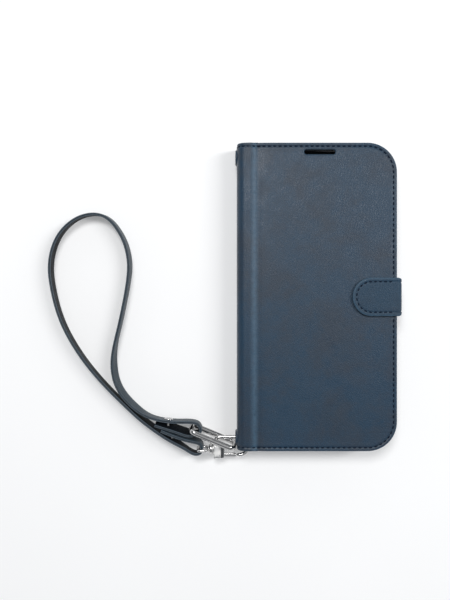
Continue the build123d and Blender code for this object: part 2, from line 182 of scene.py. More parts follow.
def flat_grid(s0, s1, half, corner, rings, xs, y_step, arc_steps):
    """A plan of a panel that is open at s0 and has two round corners at s1.

    Returns points (s, t, distance from the stitched edge) and faces, in neat rings."""
    low = half - corner
    ys = np.linspace(low, -low, max(2, int(round(2 * low / y_step)) + 1)) if low > 0 else np.array([0.0])
    xs = np.array([x for x in xs if x < s1 - corner - 1e-6] + [s1 - corner])
    angles = np.linspace(pi / 2, 0, arc_steps + 1)
    points, faces = [], []
    for d in rings:
        radius = corner - d
        ring = [(x, half - d) for x in xs]
        ring += arc_points(s1 - corner, low, radius, angles[1:])
        ring += [(s1 - d, y) for y in ys[1:]]
        ring += arc_points(s1 - corner, -low, radius, -angles[::-1][1:])
        ring += [(x, -half + d) for x in xs[::-1][1:]]
        points += [(s, t, d) for s, t in ring]
    faces += quads(len(rings), len(points) // len(rings))
    if len(ys) > 1:
        start = len(points)
        for x in xs:
            points += [(x, y, corner) for y in ys]
        faces += [face[::-1] for face in quads(len(xs), len(ys), start)]
    return weld(np.array(points), faces)


def boundary_edges(faces):
    """Directed edges that only one face uses."""
    edges = {}
    for face in faces:
        for a, b in zip(face, face[1:] + face[:1]):
            edges[(a, b)] = edges.get((a, b), 0) + 1
    return [(a, b) for a, b in edges if (b, a) not in edges]


def shell(name, plan, faces, path, upper, lower, materials):
    """A closed sheet on a plan: upper and lower give the height of its two sides over the path.

    The three materials are for the upper side, the lower side and the edge."""
    s, t, d = plan.T
    px, pz, nx, nz = path(s)
    sides = []
    for height in (upper(s, t, d), lower(s, t, d)):
        sides.append(np.column_stack([px + nx * height, t, pz + nz * height]))
    count = len(plan)
    all_faces = [tuple(face) for face in faces]
    slots = [0] * len(all_faces)
    all_faces += [tuple(i + count for i in face[::-1]) for face in faces]
    slots += [1] * len(faces)
    for a, b in boundary_edges([list(face) for face in faces]):
        all_faces.append((b, a, a + count, b + count))
        slots.append(2)
    verts = np.vstack(sides)
    uv = np.column_stack([s, t]) / 100
    uvs = np.vstack([uv, uv + 3.0])
    return new_object(name, verts, all_faces, materials, slots, uvs, np.tile(d, 2))


def smooth_step(x, low, high):
    u = np.clip((x - low) / (high - low), 0, 1)
    return u * u * (3 - 2 * u)


def bell(x, centre, width):
    return np.exp(-(((x - centre) / width) ** 2))


def round_over(d, radius):
    """How far a surface drops near an edge that is rounded with this radius."""
    inside = np.clip(radius - d, 0, radius)
    return radius - np.sqrt(np.maximum(radius**2 - inside**2, 0))


def cut(obj, cutter):
    """Cuts one mesh out of another for good."""
    modifier = obj.modifiers.new("cut", "BOOLEAN")
    modifier.operation = "DIFFERENCE"
    modifier.solver = "EXACT"
    modifier.object = cutter
    bpy.context.view_layer.update()
    made = bpy.data.meshes.new_from_object(obj.evaluated_get(bpy.context.evaluated_depsgraph_get()))
    obj.modifiers.clear()
    old = obj.data
    obj.data = made
    made.name = old.name
    bpy.data.meshes.remove(old)
    bpy.data.objects.remove(cutter)


def cut_all(obj, cutters, sharp=SHARP):
    """Makes one cut after the other, then finds the sharp edges again."""
    for cutter in cutters:
        cut(obj, cutter)
    obj.data.set_sharp_from_angle(angle=radians(sharp))
    return obj


def stadium(width, height, radius, steps=8):
    """Points round a rounded rectangle, anticlockwise from the right."""
    points = []
    for number, (sx, sy) in enumerate(((1, 1), (-1, 1), (-1, -1), (1, -1))):
        cx, cy = sx * (width / 2 - radius), sy * (height / 2 - radius)
        points += arc_points(cx, cy, radius, [pi / 2 * (number + k / steps) for k in range(steps + 1)])
    return points


def flared_cutter(levels, centre, size, radius):
    """A prism whose outline grows with height: levels are (z, growth)."""
    verts = []
    for z, grow in levels:
        ring = stadium(size[0] + 2 * grow, size[1] + 2 * grow, radius + grow)
        verts += [(centre[0] + x, centre[1] + y, z) for x, y in ring]
    return new_object("cutter", verts, ring_faces(len(levels), len(ring)), [COVER])


def tube(points, radii, sides, closed=False, up=(0, 0, 1), flat=1.0):
    """Verts and faces of a round tube along points; flat widens it along up."""
    points = np.asarray(points, float)
    radii = np.broadcast_to(radii, len(points))
    if closed:
        tangents = np.roll(points, -1, 0) - np.roll(points, 1, 0)
    else:
        tangents = np.gradient(points, axis=0)
    tangents = unit(tangents)
    side = unit(np.cross(tangents, np.asarray(up, float)))
    other = np.cross(side, tangents)
    verts = []
    for point, a, b, radius in zip(points, side, other, radii):
        verts += circle(point, radius * a, radius * flat * b, sides)
    faces = []
    rows = len(points)
    for row in range(rows if closed else rows - 1):
        here, there = row * sides, (row + 1) % rows * sides
        for k in range(sides):
            faces.append((here + k, there + k, there + (k + 1) % sides, here + (k + 1) % sides))
    if not closed:
        faces.append(tuple(range(sides)))
        faces.append(tuple(range((rows - 1) * sides, rows * sides))[::-1])
    return verts, faces


# ---- materials ----
def new_node(socket, kind):
    """A node in the tree that the socket belongs to."""
    return socket.id_data.nodes.new(kind)


def link(value, node, name):
    node.id_data.links.new(value, node.inputs[name])


def constants(node, **values):
    """Sets sockets by name, with _ for a space."""
    for name, value in values.items():
        node.inputs[name.replace("_", " ")].default_value = value


def coordinates(tree, kind, stretch=(1, 1, 1)):
    source = tree.nodes.new("ShaderNodeTexCoord")
    mapping = tree.nodes.new("ShaderNodeMapping")
    constants(mapping, Scale=stretch)
    link(source.outputs[kind], mapping, "Vector")
    return mapping.outputs["Vector"]


def nodes_of(name, kind="Object", stretch=(1, 1, 1)):
    """A new material with its shader and its texture coordinates."""
    material = bpy.data.materials.new(name)
    material.use_nodes = True
    tree = material.node_tree
    return material, tree.nodes["Principled BSDF"], coordinates(tree, kind, stretch)


def noise(vector, scale, detail=3.0, roughness=0.5, distortion=0.0):
    node = new_node(vector, "ShaderNodeTexNoise")
    constants(node, Scale=scale, Detail=detail, Roughness=roughness, Distortion=distortion)
    link(vector, node, "Vector")
    return node.outputs["Fac"]


def cells(vector, scale, feature):
    node = new_node(vector, "ShaderNodeTexVoronoi")
    node.feature = feature
    constants(node, Scale=scale)
    link(vector, node, "Vector")
    return node.outputs["Distance"]


def ramp(value, stops):
    """A colour ramp; stops are (position, colour)."""
    node = new_node(value, "ShaderNodeValToRGB")
    elements = node.color_ramp.elements
    while len(elements) < len(stops):
        elements.new(0.5)
    for element, (position, colour) in zip(elements, stops):
        element.position = position
        element.color = (*colour, 1.0)
    link(value, node, "Fac")
    return node.outputs["Color"]


def tint(shader, value, colour, dark, light, low=0.3, high=0.7):
    """Base colour that goes from dark to light times the colour as value goes from low to high."""
    stops = [(low, tuple(dark * c for c in colour)), (high, tuple(light * c for c in colour))]
    link(ramp(value, stops), shader, "Base Color")


def remap(value, low, high, to_low, to_high):
    node = new_node(value, "ShaderNodeMapRange")
    for name, number in zip(("From Min", "From Max", "To Min", "To Max"), (low, high, to_low, to_high)):
        node.inputs[name].default_value = number
    link(value, node, "Value")
    return node.outputs["Result"]


def math_node(operation, a, b):
    node = new_node(a, "ShaderNodeMath")
    node.operation = operation
    link(a, node, 0)
    if isinstance(b, float):
        node.inputs[1].default_value = b
    else:
        link(b, node, 1)
    return node.outputs["Value"]


def weighted(a, share_a, b, share_b):
    return math_node("ADD", math_node("MULTIPLY", a, share_a), math_node("MULTIPLY", b, share_b))


def mix(factor, a, b):
    """A mix of two colours, each a socket or a tuple."""
    node = new_node(factor, "ShaderNodeMix")
    node.data_type = "RGBA"
    link(factor, node, "Factor")
    for name, value in ((6, a), (7, b)):
        if isinstance(value, tuple):
            node.inputs[name].default_value = (*value, 1.0)
        else:
            link(value, node, name)
    return node.outputs[2]


def bump(height, distance, strength, normal=None):
    node = new_node(height, "ShaderNodeBump")
    constants(node, Distance=distance, Strength=strength)
    link(height, node, "Height")
    if normal is not None:
        link(normal, node, "Normal")
    return node.outputs["Normal"]


def leather(name, navy, warm, roughness=0.48, grain=1.0, cloud=1.0, gloss=0.34, sheen=0.05, wear_and_highlight_reach=0.75):
    """Mottled grained leather, paler up to the given reach in mm from an edge or the cover's fold: edge wear at the
    rims, a painted highlight along the fold.

    Its coordinates are in decimetres."""
    material, shader, vector = nodes_of(name, "UV")
    broad = noise(vector, 3.1, 4.0, 0.62, 0.4)
    fine = noise(vector, 14.0, 4.0, 0.6)
    amount = remap(weighted(broad, 0.72, fine, 0.28), 0.43, 0.59, 0.0, cloud)
    colour = mix(amount, navy, warm)
    speck = remap(noise(vector, 150.0, 3.0, 0.7), 0.3, 0.7, 0.74, 1.26)
    tone = new_node(vector, "ShaderNodeVectorMath")
    tone.operation = "SCALE"
    link(colour, tone, 0)
    link(speck, tone, "Scale")
    colour = tone.outputs[0]
    # Paler near the rims and along the cover's fold: the rims are edge wear, and the fold band (depth below zero) is
    # a painted highlight.
    depth = new_node(vector, "ShaderNodeAttribute")
    depth.attribute_name = "depth"
    edge = remap(depth.outputs["Fac"], -0.3, wear_and_highlight_reach, 1.0, 0.0)
    wear_and_highlight = math_node("MULTIPLY", edge, remap(noise(vector, 40.0), 0.35, 0.6, 0.55, 1.0))
    # The paler colour of the worn rims and of the painted highlight along the fold.
    colour = mix(wear_and_highlight, colour, (2.9 * navy[0], 2.3 * navy[1], 2.0 * navy[2]))
    link(colour, shader, "Base Color")
    pebble = cells(vector, 150.0, "SMOOTH_F1")
    creases = cells(vector, 95.0, "DISTANCE_TO_EDGE")
    surface = math_node("ADD", math_node("MULTIPLY", pebble, -0.5), remap(creases, 0.0, 0.12, 0.0, 0.6))
    surface = math_node("ADD", surface, math_node("MULTIPLY", fine, 0.7))
    normal = bump(surface, 0.00012, 0.55 * grain)
    link(bump(noise(vector, 5.5, 2.0), 0.0006, 0.35, normal), shader, "Normal")
    link(remap(fine, 0.3, 0.7, roughness - 0.07, roughness + 0.08), shader, "Roughness")
    constants(shader, Specular_IOR_Level=gloss, Sheen_Weight=sheen, Sheen_Roughness=0.45)
    return material


def microfibre(name, colour):
    material, shader, vector = nodes_of(name)
    fuzz = noise(vector, 5200.0, 3.0, 0.7)
    patch = noise(vector, 60.0, 3.0)
    tint(shader, weighted(fuzz, 0.5, patch, 0.5), colour, 0.7, 1.35)
    link(bump(fuzz, 0.0001, 0.5), shader, "Normal")
    constants(shader, Roughness=0.92, Sheen_Weight=0.25, Sheen_Roughness=0.5, Specular_IOR_Level=0.25)
    return material


def thread_material(name, colour):
    material, shader, vector = nodes_of(name)
    twist = new_node(vector, "ShaderNodeTexWave")
    twist.bands_direction = "DIAGONAL"
    constants(twist, Scale=1100.0, Distortion=0.6)
    link(vector, twist, "Vector")
    tint(shader, twist.outputs["Fac"], colour, 0.5, 1.3, 0.1, 0.8)
    link(bump(twist.outputs["Fac"], 0.00008, 0.6), shader, "Normal")
    constants(shader, Roughness=0.62, Specular_IOR_Level=0.15)
    return material


def metal(name, colour, roughness):
    """Plated metal with a faint haze of handling marks."""
    material, shader, vector = nodes_of(name)
    haze = noise(vector, 420.0, 3.0, 0.55)
    smear = noise(vector, 120.0, 2.0)
    tint(shader, smear, colour, 0.90, 1.0)
    link(remap(haze, 0.3, 0.7, roughness * 0.6, roughness * 1.5), shader, "Roughness")
    link(bump(smear, 0.00002, 0.1), shader, "Normal")
    constants(shader, Metallic=1.0)
    return material


def coated(name, colour, spread, cloud_scale, grain_scale, depth, strength, roughness, even=0.0):
    """Paint or plastic whose shade and gloss follow one noise and whose relief follows another."""
    material, shader, vector = nodes_of(name)
    cloud = noise(vector, *cloud_scale)
    grain = noise(vector, *grain_scale)
    tint(shader, cloud, colour, 1 - spread, 1 + spread)
    link(bump(grain, depth, strength), shader, "Normal")
    link(remap(cloud, 0.3, 0.7, roughness - even, roughness + even), shader, "Roughness")
    return material


def board_material(name):
    material, shader, vector = nodes_of(name, "Object", (1, 3, 1))
    fibre = noise(vector, 900.0, 4.0, 0.7)
    brown = ramp(fibre, [(0.3, (0.035, 0.033, 0.032)), (0.7, (0.075, 0.068, 0.062))])
    link(brown, shader, "Base Color")
    link(bump(fibre, 0.0001, 0.4), shader, "Normal")
    constants(shader, Roughness=0.9)
    return material


NAVY = (0.014, 0.038, 0.069)
WARM = (0.020, 0.034, 0.054)
COVER = leather("cover_leather", NAVY, WARM, cloud=1.0, roughness=0.39, gloss=0.33, grain=0.75)
# The clasp tab's pale rim reaches further in: partly edge wear, partly a painted highlight on its raised rim.
TAB_LEATHER = leather("clasp_leather", (0.018, 0.044, 0.076), (0.023, 0.040, 0.062), cloud=0.7, roughness=0.38,
                      gloss=0.2, wear_and_highlight_reach=1.3)
STRAP_LEATHER = leather("strap_leather", (0.010, 0.026, 0.040), (0.012, 0.023, 0.033), cloud=0.5, grain=0.8,
                        gloss=0.22)
STRAP_INSIDE = leather("strap_inside", (0.005, 0.007, 0.010), (0.006, 0.008, 0.010), cloud=0.5, gloss=0.06,
                       sheen=0.0)
POCKET = leather("pocket_leather", (0.023, 0.046, 0.073), (0.029, 0.041, 0.057), cloud=0.5, roughness=0.5)
PAINT = (0.25, (900.0, 3.0), (900.0, 3.0), 0.00008, 0.5, 0.48)
EDGE_PAINT = coated("edge_paint", (0.045, 0.068, 0.095), *PAINT)
STRAP_EDGE = coated("strap_edge", (0.036, 0.054, 0.072), *PAINT)
STRAP_SEAM = coated("strap_seam", (0.004, 0.006, 0.009), *PAINT)
LINING = microfibre("lining_microfibre", (0.030, 0.046, 0.066))
THREAD = thread_material("dark_thread", (0.002, 0.008, 0.022))
NICKEL = metal("polished_nickel", (0.56, 0.555, 0.55), 0.14)
# A paler, rougher copy of the polished nickel, used only on the hook's block: a painted highlight, since the block is
# the same metal as its cheek.
HIGHLIT_NICKEL = metal("nickel_painted_highlight", (0.97, 0.96, 0.94), 0.42)
SPRING = metal("spring_steel", (0.55, 0.55, 0.56), 0.3)
MAGNET = metal("magnet_nickel", (0.60, 0.60, 0.62), 0.28)
PLASTIC = (0.15, (45.0, 2.0), (3800.0, 2.0), 0.00004, 0.4)
TRAY = coated("tray_plastic", (0.018, 0.022, 0.028), *PLASTIC, 0.42, 0.05)
KEY = coated("key_plastic", (0.022, 0.027, 0.036), *PLASTIC, 0.36, 0.05)
FIBRE = board_material("fibre_board")


# ---- camera, light and floor ----
LOOK_AT = (-50.9, -1.66)
VIEW_HEIGHT = 326.0
DISTANCE = 350.0
SENSOR = 36.0
LIT_POINT = (0, 0.02, 0)


def add_camera():
    data = bpy.data.cameras.new("camera")
    data.lens = SENSOR * DISTANCE / VIEW_HEIGHT
    data.sensor_width = SENSOR
    data.clip_end = 20.0
    camera = in_scene("camera", data)
    camera.location = Vector((*LOOK_AT, TOP + DISTANCE)) * MM
    bpy.context.scene.camera = camera


def add_light(name, spot, size, energy):
    data = bpy.data.lights.new(name, "AREA")
    data.shape = "RECTANGLE"
    data.size, data.size_y = size
    data.energy = energy
    light = in_scene(name, data)
    light.location = spot
    light.rotation_euler = (Vector(LIT_POINT) - Vector(spot)).to_track_quat("-Z", "Y").to_euler()


def add_floor():
    material, shader, vector = nodes_of("pale_floor")
    tint(shader, noise(vector, 6.0), (1, 1, 1), 0.75, 0.77)
    constants(shader, Roughness=0.9, Specular_IOR_Level=0.1, Emission_Color=(1, 1, 1, 1), Emission_Strength=0.20)
    reach, below = 6000.0, -0.25
    corners = [(x, y, below) for x, y in ((-reach, -reach), (reach, -reach), (reach, reach), (-reach, reach))]
    floor = new_object("floor", corners, [(0, 1, 2, 3)], [material])


def add_world():
    """A studio seen by direction: a pale ceiling, dark upper walls and a bright sweep near the floor."""
    world = bpy.data.worlds.new("studio")
    world.use_nodes = True
    tree = world.node_tree
    split = tree.nodes.new("ShaderNodeSeparateXYZ")
    link(coordinates(tree, "Generated"), split, 0)
    stops = [(0.0, (0.35, 0.35, 0.36)), (0.12, (0.85, 0.87, 0.90)), (0.36, (0.75, 0.77, 0.80)),
             (0.52, (0.10, 0.11, 0.12)), (0.80, (0.10, 0.11, 0.12)), (0.93, (0.50, 0.51, 0.53)),
             (1.0, (0.55, 0.56, 0.58))]
    link(ramp(split.outputs["Z"], stops), tree.nodes["Background"], "Color")
    bpy.context.scene.world = world


add_camera()
add_world()
add_floor()
add_light("key", (-0.17, 0.38, 0.93), (0.30, 0.30), 5.2)
add_light("right", (0.66, 0.22, 0.86), (0.20, 0.60), 5.2)
bpy.context.scene.view_settings.view_transform = "Standard"


def place(piece, slot, body, *nodes):
    """Hides the CAD nodes that the piece stands for and fixes it to its body, if it has one; the slot is not used."""
    if nodes:
        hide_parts(*nodes)
    if body is not None:
        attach(piece, body)
    return piece


# ---- wrist strap: a flat cord, first among the pieces ----
# The route's points are the CAD strap's, from the end folded round the swivel eye to the end
# folded round the ring, and z rises to the hardware.
STRAP_ROUTE = [
    (-86.3, -73.9, 6.8), (-80.0, -76.6, 6.8), (-72.5, -79.1, 6.8), (-66.1, -80.4, 6.8),
    (-63.6, -82.2, 6.8), (-64.1, -86.8, 6.8), (-68.2, -87.6, 6.8), (-75.4, -82.6, 6.8),
    (-86.5, -76.5, 6.2), (-103.2, -64.2, 4.9), (-120.0, -47.9, 4.3), (-132.6, -32.3, 4.3),
    (-142.6, -14.8, 4.3), (-147.7, 2.8, 4.3), (-149.7, 19.5, 4.3), (-145.1, 34.6, 4.3),
    (-135.3, 44.3, 4.3), (-124.5, 47.3, 4.3), (-115.8, 44.6, 4.3), (-108.6, 34.9, 4.3),
    (-105.1, 25.1, 4.3), (-104.2, 13.5, 4.3), (-109.2, -12.3, 4.3), (-113.0, -27.3, 4.3),
    (-113.8, -38.4, 4.3), (-111.9, -48.8, 4.3), (-106.4, -57.3, 4.7), (-96.4, -65.8, 5.8),
    (-86.9, -68.8, 6.8), (-78.0, -69.6, 6.8), (-70.5, -69.4, 6.8), (-65.4, -70.4, 6.8),
    (-63.8, -75.2, 6.8), (-69.6, -76.9, 6.8), (-78.6, -73.6, 6.8), (-89.6, -70.2, 6.8),
]
STRAP_WIDTH = 8.0
STRAP_THICKNESS = 1.6
# Lean in degrees, then where it sets in and where it ends along the strap; below zero is from the far end.
# It leans down the loop's right leg and where the upper leg turns to the ring; the folded ends splay.
STRAP_LEANS = [(9.0, None, (18, 27)), (-9.0, (36, 46), (62, 84)), (4.0, (-225, -195), (-160, -130)),
               (10.0, (-112, -92), (-72, -54)), (-20.0, (-27, -17), None)]
HARDWARE_Z = 6.8


def spline_points(route, steps):
    """Points on the route's own smooth curve, in millimetres."""
    curve = bpy.data.curves.new("route", "CURVE")
    curve.dimensions = "3D"
    spline = curve.splines.new("NURBS")
    spline.points.add(len(route) - 1)
    for point, spot in zip(spline.points, route):
        point.co = (*[c * MM for c in spot], 1.0)
    spline.order_u = 3
    spline.use_endpoint_u = True
    spline.resolution_u = steps
    holder = in_scene("route", curve)
    bpy.context.view_layer.update()
    mesh = bpy.data.meshes.new_from_object(holder.evaluated_get(bpy.context.evaluated_depsgraph_get()))
    points = np.array([v.co for v in mesh.vertices]) / MM
    bpy.data.objects.remove(holder)
    bpy.data.meshes.remove(mesh)
    return points


def ribbon_section():
    """The strap's outline as (across the thickness, along the width): two leathers glued back to back."""
    half_t, half_w = STRAP_THICKNESS / 2, STRAP_WIDTH / 2
    edge = [(half_t, half_w - 0.34), (half_t - 0.05, half_w - 0.14), (half_t - 0.18, half_w - 0.03), (0.40, half_w),
            (0.22, half_w - 0.04), (0.11, half_w - 0.16), (0.0, half_w - 0.34)]
    upper = edge + [(-t, w) for t, w in edge[-2::-1]]
    face = [(half_t, w) for w in (-2.4, -0.8, 0.8, 2.4)]
    lower = [(-t, -w) for t, w in upper]
    return face + upper + [(-t, -w) for t, w in face] + lower


def strap_mesh():
    points = spline_points(STRAP_ROUTE, 10)
    tangents = unit(np.gradient(points, axis=0))
    lengths = distances(points)
    lean = np.zeros(len(points))
    for degrees, sets_in, ends in STRAP_LEANS:
        share = np.full(len(points), degrees)
        for limits, falls in ((sets_in, False), (ends, True)):
            if limits:
                low, high = (limit if limit > 0 else lengths[-1] + limit for limit in limits)
                step = smooth_step(lengths, low, high)
                share *= 1 - step if falls else step
        lean += np.radians(share)
    up = np.array([0.0, 0.0, 1.0])
    side = unit(np.cross(tangents, up))
    section = ribbon_section()
    verts, uvs = [], []
    for point, across, angle, run in zip(points, side, lean, lengths):
        a = across * cos(angle) - up * sin(angle)
        b = up * cos(angle) + across * sin(angle)
        for t, w in section:
            verts.append(point + a * t + b * w)
            uvs.append((run / 100, (w + (20 if t > 0 else 0)) / 100))
    count = len(section)
    outside, inside, edge, seam = range(4)
    slots = []
    for k in range(count):
        middle = (section[k][0] + section[(k + 1) % count][0]) / 2
        if abs(middle) > STRAP_THICKNESS / 2 - 0.01:
            slots.append(inside if middle > 0 else outside)
        else:
            slots.append(seam if abs(middle) < 0.16 else edge)
    strap = new_object("wrist_strap_leather", verts, ring_faces(len(points), count),
                       [STRAP_LEATHER, STRAP_INSIDE, STRAP_EDGE, STRAP_SEAM],
                       slots * (len(points) - 1) + [edge, edge], uvs, FAR_FROM_RIMS_AND_FOLD, sharp=50)
    return strap, points


def lathe(profile, origin, axis, steps=32):
    """Verts and faces of a turned shape: profile is (radius, height) from one end to the other."""
    axis = np.asarray(axis, float)
    side = np.cross(axis, (0, 0, 1))
    other = np.cross(axis, side)
    verts = []
    for radius, height in profile:
        verts += circle(origin + axis * height, radius * side, radius * other, steps)
    return verts, ring_faces(len(profile), steps)


def rivet_piece(name, spot, heading, pitch):
    """A domed cap on the outer leather, a post through both layers and a set end on the inner one."""
    out, back = STRAP_THICKNESS / 2, -pitch - STRAP_THICKNESS / 2
    profile = [(0.02, out + 1.0), (0.7, out + 0.98), (1.3, out + 0.90), (1.85, out + 0.74), (2.25, out + 0.50),
               (2.47, out + 0.26), (2.50, out + 0.12), (2.40, out), (1.0, out), (1.0, back + 0.2), (1.9, back + 0.2),
               (2.0, back + 0.12), (1.9, back), (1.0, back - 0.02), (0.6, back + 0.06), (0.02, back + 0.08)]
    axis = (cos(radians(heading)), sin(radians(heading)), 0.0)
    verts, faces = lathe(profile, np.array([*spot, HARDWARE_Z]), axis)
    return new_object(name, verts, faces, [NICKEL], sharp=50)


# Each rivet's place, the way its cap faces in degrees, and the distance between the two layers it holds.
RIVETS = {"rivet_ring_end": ((-82.5, -69.2), 84.9, 3.25), "rivet_clasp_end": ((-81.0, -79.6), 241.2, 3.35)}
strap, strap_line = strap_mesh()
place(strap, "strap_leather", "case", "wrist_strap")
rivets = [place(rivet_piece(f"{node}_cap", *facts), "polished_metal", "case", node) for node, facts in RIVETS.items()]


# ---- hook, swivel and ring: finer meshes on the CAD's own lines ----
SWIVEL_Y = -84.9
RING_LEFT, RING_RIGHT = (-69.7, -73.3), (-45.9, -83.2)
RING_WIRE, RING_FLAT, RING_HEIGHT, RING_TILT = 1.25, 1.22, 11.0, 10
EYE_WIRE = 0.9
HOOK_WIRE = 1.0
LEVER_Y = -88.18


def filleted(points, radii, steps=12):
    """A wire's line with round corners, in the plane of the hardware."""
    line = [np.array(points[0], float)]
    for before, here, after, radius in zip(points, points[1:], points[2:], radii):
        here = np.array(here, float)
        a, b = unit(np.array(before, float) - here), unit(np.array(after, float) - here)
        half = acos(float(np.clip(a @ b, -1, 1))) / 2
        centre = here + unit(a + b) * radius / sin(half)
        start, end = here + a * radius / tan(half), here + b * radius / tan(half)
        u, v = start - centre, end - centre
        turn = acos(float(np.clip(u @ v / radius**2, -1, 1)))
        for k in range(steps + 1):
            w = k / steps
            line.append(centre + (sin((1 - w) * turn) * u + sin(w * turn) * v) / sin(turn))
    line.append(np.array(points[-1], float))
    return np.array(line)


def divided(line, step=0.6):
    """The same line with its long runs divided, so that the metal shades evenly."""
    points = [line[0]]
    for a, b in zip(line, line[1:]):
        count = max(1, int(np.linalg.norm(b - a) / step))
        points += [a + (b - a) * (k + 1) / count for k in range(count)]
    return np.array(points)


def joined(name, parts, material, sharp=40):
    """One mesh from several closed shapes."""
    verts, faces = [], []
    for more_verts, more_faces in parts:
        start = len(verts)
        verts += [tuple(v) for v in more_verts]
        faces += [tuple(start + i for i in face) for face in more_faces]
    return new_object(name, verts, faces, [material], sharp=sharp)


def turned_along_x(profile):
    """A turned shape on the swivel's line: profile is (x, radius)."""
    return lathe([(radius, x) for x, radius in profile], np.array([0.0, SWIVEL_Y, HARDWARE_Z]), (1.0, 0.0, 0.0), 36)


def pillow(outline, levels):
    """A solid from an outline in the plane: levels are (height, shrink towards the middle in mm)."""
    outline = np.array(outline)
    low, high = outline.min(0), outline.max(0)
    middle, half = (low + high) / 2, (high - low) / 2
    verts = []
    for z, inset in levels:
        scale = (half - inset) / half
        verts += [(*(middle + (p - middle) * scale), HARDWARE_Z + z) for p in outline]
    return verts, ring_faces(len(levels), len(outline))


def loop_of(width, height, radius, steps=10):
    """A closed rounded rectangle for a wire, with its straight runs divided."""
    outline = stadium(width, height, radius, steps)
    return divided(np.array([*outline, outline[0]]))[:-1]


def ring_piece():
    run = np.array([*np.subtract(RING_RIGHT, RING_LEFT), 0.0])
    reach = np.linalg.norm(run)
    along = run / reach
    side = np.array([-along[1], along[0], 0.0])
    tilt = radians(RING_TILT)
    across = np.array([0, 0, cos(tilt)]) - side * sin(tilt)
    middle = np.array([*RING_LEFT, HARDWARE_Z]) + run / 2
    points = [middle + along * a + across * b for a, b in loop_of(reach, RING_HEIGHT, 2.6)]
    wire = tube(points, RING_WIRE, 28, True, np.cross(along, across), RING_FLAT)
    return joined("ring_metal", [wire], NICKEL, 60)


def eye_piece():
    """The flat loop that the strap hangs from, and its turned shank through the collar."""
    points = [(-63.4 + a, SWIVEL_Y, HARDWARE_Z + b) for a, b in loop_of(5.0, 10.7, 1.4)]
    shank = turned_along_x([(-61.3, 0.3), (-61.2, 1.5), (-61.0, 1.85), (-60.7, 2.0), (-60.3, 2.0),
                            (-60.05, 1.85), (-59.95, 1.0), (-57.2, 1.0), (-57.1, 1.6), (-56.4, 1.6), (-56.3, 0.2)])
    return joined("swivel_eye_metal", [tube(points, EYE_WIRE, 20, True, (0, 1, 0)), shank], NICKEL, 50)


def hook_piece():
    """The hook's block with its sloped cheek, both slit for the lever, its bent wire and its collar."""
    route = [(-56.4, -84.0), (-56.4, -78.2), (-37.8, -78.2), (-37.8, LEVER_Y), (-44.3, LEVER_Y)]
    line = divided(filleted(route, [3.0, 4.98, 4.98], 16))
    points = [(*p, HARDWARE_Z) for p in line]
    radii = [HOOK_WIRE] * (len(points) - 3) + [0.97, 0.85, 0.55]
    block = pillow(stadium(4.6, 8.1, 0.9) + np.array([-55.3, -86.05]),
                   [(-2.5, 1.6), (-2.46, 0.9), (-2.36, 0.4), (-2.1, 0.08), (-1.8, 0.0), (1.8, 0.0),
                    (2.1, 0.08), (2.36, 0.4), (2.48, 0.9), (2.55, 1.5), (2.58, 2.1)])
    collar = turned_along_x([(-59.8, 1.3), (-59.78, 2.3), (-59.6, 2.7), (-59.2, 2.95), (-58.7, 3.0), (-58.2, 2.95),
                             (-57.8, 2.7), (-57.6, 2.3), (-57.3, 2.2), (-57.28, 0.3)])
    verts, faces = pillow(stadium(2.4, 7.5, 0.7) + np.array([-52.4, -86.05]),
                          [(-2.1, 0.3), (-1.9, 0.0), (2.0, 0.0), (2.15, 0.1), (2.2, 0.25)])
    slope, slope_from = 0.45, -53.2
    cheek = [(x, y, z - slope * (x - slope_from) if z > HARDWARE_Z else z) for x, y, z in verts], faces
    # The block takes the paler nickel copy as a painted highlight; the cheek keeps the polished nickel.
    body, side = joined("hook_metal", [block], HIGHLIT_NICKEL, 45), joined("hook_cheek_metal", [cheek], NICKEL, 45)
    slit = pillow([(-56.3, -91), (-50, -91), (-50, -86.4), (-56.3, -86.4)], [(-1.2, 0.0), (1.2, 0.0)])
    for piece in (body, side):
        cut_all(piece, [joined("cutter", [slit], NICKEL)], 45)
    wire = joined("hook_wire_metal", [tube(points, radii, 24)], NICKEL, 60)
    return body, side, wire, joined("hook_collar_metal", [collar], NICKEL, 50)


def gate_piece():
    """The lever: a round knuckle and a bar that thins towards its tip."""
    knuckle = pillow(stadium(2.8, 2.8, 1.39, 10) + np.array([-54.3, LEVER_Y]),
                     [(-1.0, 0.15), (-0.92, 0.04), (-0.8, 0.0), (0.8, 0.0), (0.92, 0.04), (1.0, 0.15)])
    bar = stadium(9.7, 2.0, 0.7) + np.array([-49.45, LEVER_Y])
    arm = pillow(bar, [(-1.0, 0.45), (-0.9, 0.2), (-0.65, 0.05), (-0.3, 0.0),
                       (0.3, 0.0), (0.65, 0.05), (0.9, 0.2), (1.0, 0.45)])
    return joined("gate_metal", [knuckle, arm], NICKEL, 50)


place(ring_piece(), "polished_metal", "oval_ring", "oval_ring")
place(eye_piece(), "polished_metal", "case", "swivel_eye")
hook_block, *hook_others = hook_piece()
place(hook_block, "polished_metal", "snap_hook", "snap_hook")
for piece in hook_others:
    place(piece, "polished_metal", "snap_hook")
place(gate_piece(), "polished_metal", "hook_gate", "hook_gate")


# ---- covers ----
def flat_path(level, facing):
    def path(s):
        return s, np.full_like(s, level), np.zeros_like(s), np.full_like(s, float(facing))
    return path


